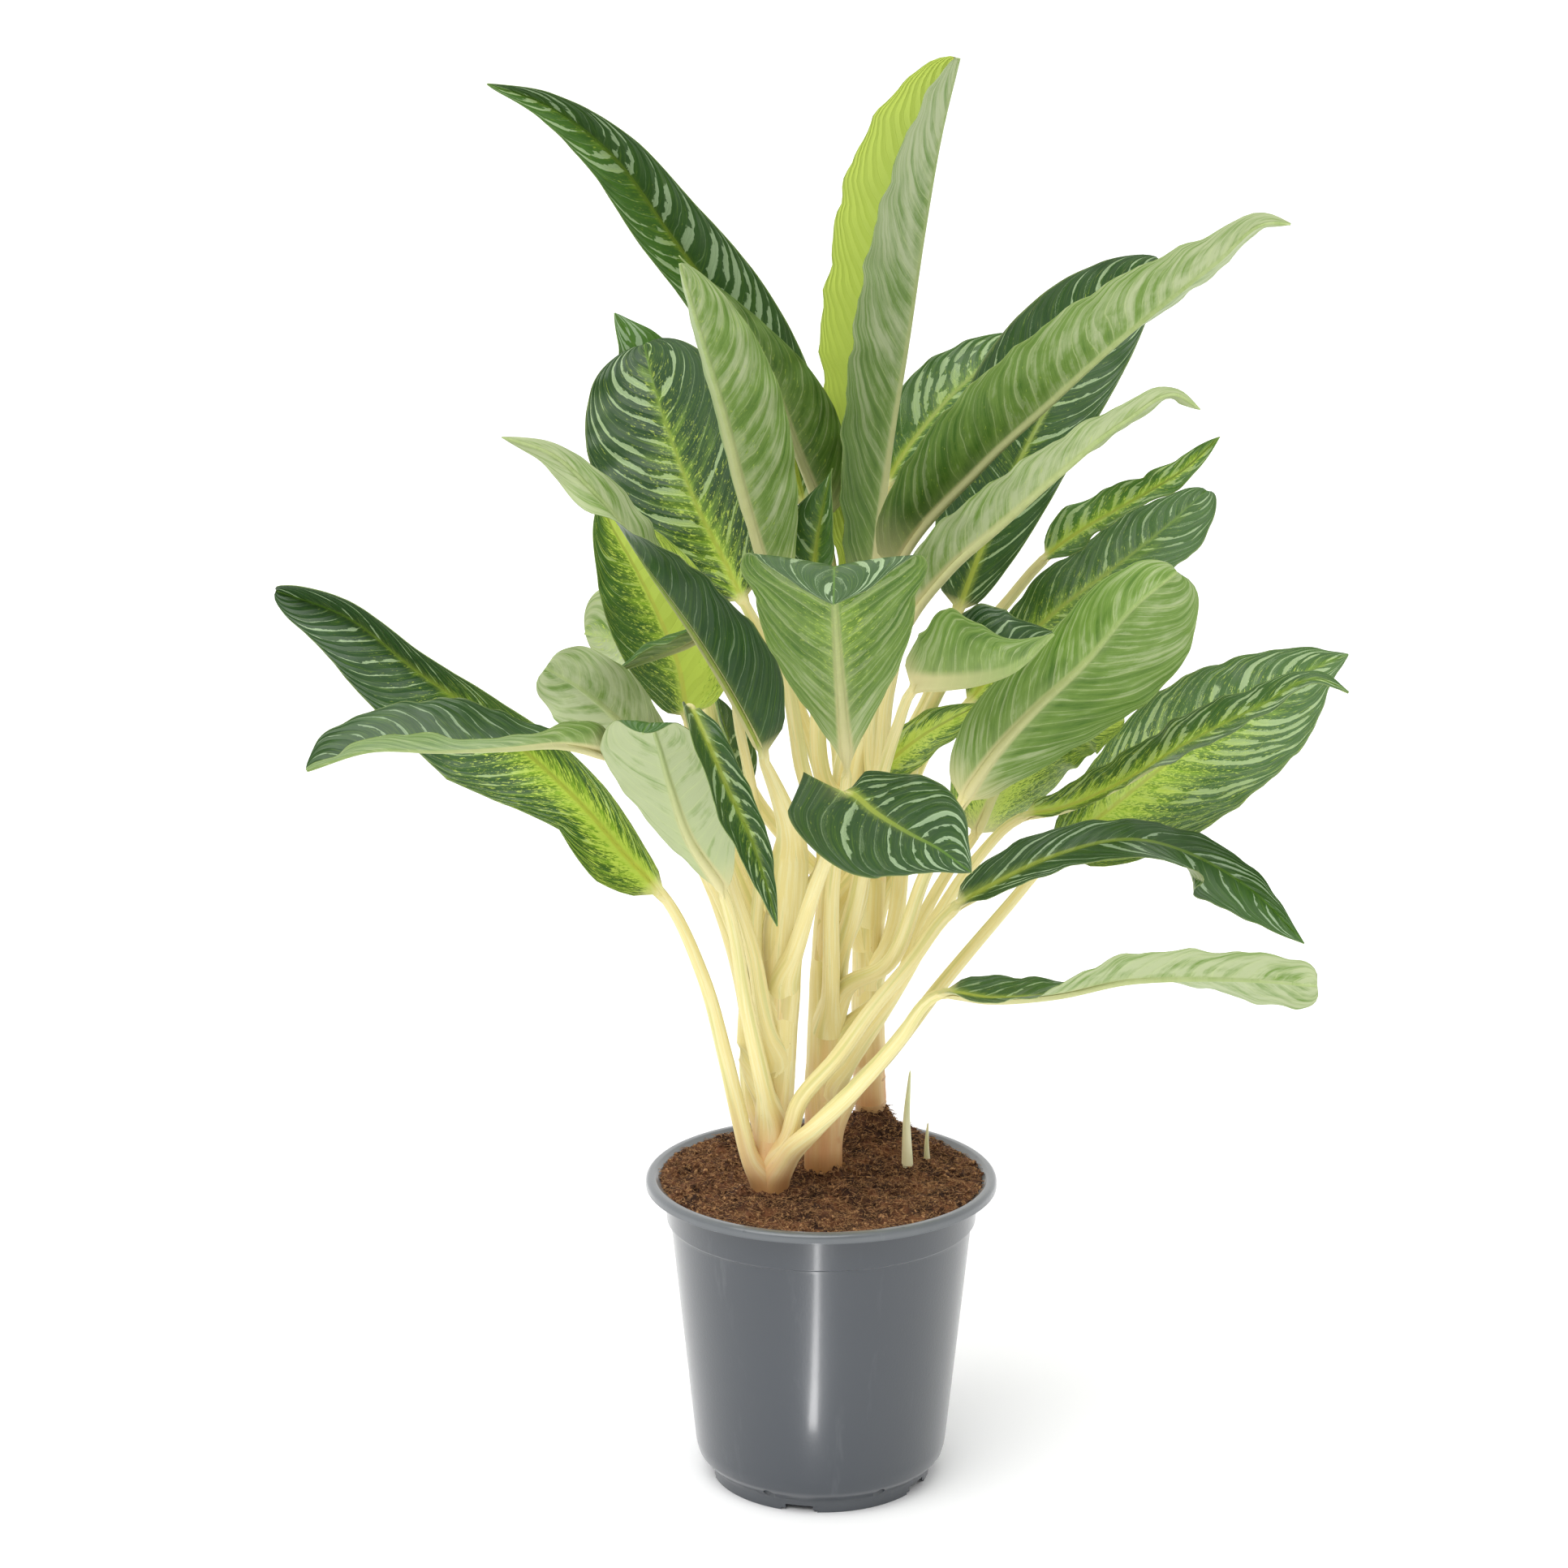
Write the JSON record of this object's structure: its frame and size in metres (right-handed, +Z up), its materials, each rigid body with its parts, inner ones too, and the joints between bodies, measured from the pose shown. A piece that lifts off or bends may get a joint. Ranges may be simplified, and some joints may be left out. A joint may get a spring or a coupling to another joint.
{
  "type": "potted chinese evergreen",
  "caption": "Bushy house plant with silver-banded green leaves on cream stalks, growing from canes in a round slate-grey nursery pot of soil.",
  "frame": {"origin": "on the ground under the pot, on the pot's axis, at the flat middle of its underside", "axes": "+Z up along the pot's axis, -Y towards the front of the plant, +X to its right as seen from the front"},
  "size_m": [0.531, 0.3118, 0.6909],
  "materials": {
    "pot": "satin-gloss moulded slate-grey plastic",
    "soil": "dull, fibrous brown potting soil",
    "cane": "ringed yellow-green to amber cane, slightly glossy",
    "shoot": "smooth pale cream shoot",
    "leaf": "satin green leaf with silver bands, pale underside and cream stalk"
  },
  "bodies": {
    "root": {"pot": "pot", "soil": "soil", "cane_front": "cane", "cane_middle": "cane", "cane_back": "cane", "shoot_tall": "shoot", "shoot_short": "shoot", "leaf_upper_left": "leaf", "leaf_inner_pale": "leaf", "leaf_inner_green": "leaf", "leaf_crown": "leaf", "leaf_upper_right": "leaf", "leaf_back_right": "leaf", "leaf_back_centre": "leaf", "leaf_right_hooked": "leaf", "leaf_right_wavy": "leaf", "leaf_right_round": "leaf", "leaf_right_broad": "leaf", "leaf_right_inner": "leaf", "leaf_right_funnel": "leaf", "leaf_centre_bowed": "leaf", "leaf_front_heart": "leaf", "leaf_left_twisted": "leaf", "leaf_left_oval": "leaf", "leaf_left_hidden": "leaf", "leaf_left_lime": "leaf", "leaf_left_pale": "leaf", "leaf_left_small": "leaf", "leaf_left_olive": "leaf", "leaf_left_grey": "leaf", "leaf_left_hanging": "leaf", "leaf_left_narrow": "leaf", "leaf_low_left": "leaf", "leaf_mid_left": "leaf", "leaf_low_right": "leaf", "leaf_bottom_right": "leaf", "leaf_far_right_back": "leaf", "leaf_far_right_front": "leaf", "leaf_inner_speckled": "leaf", "leaf_furled": "leaf"}
  },
  "joints": []
}
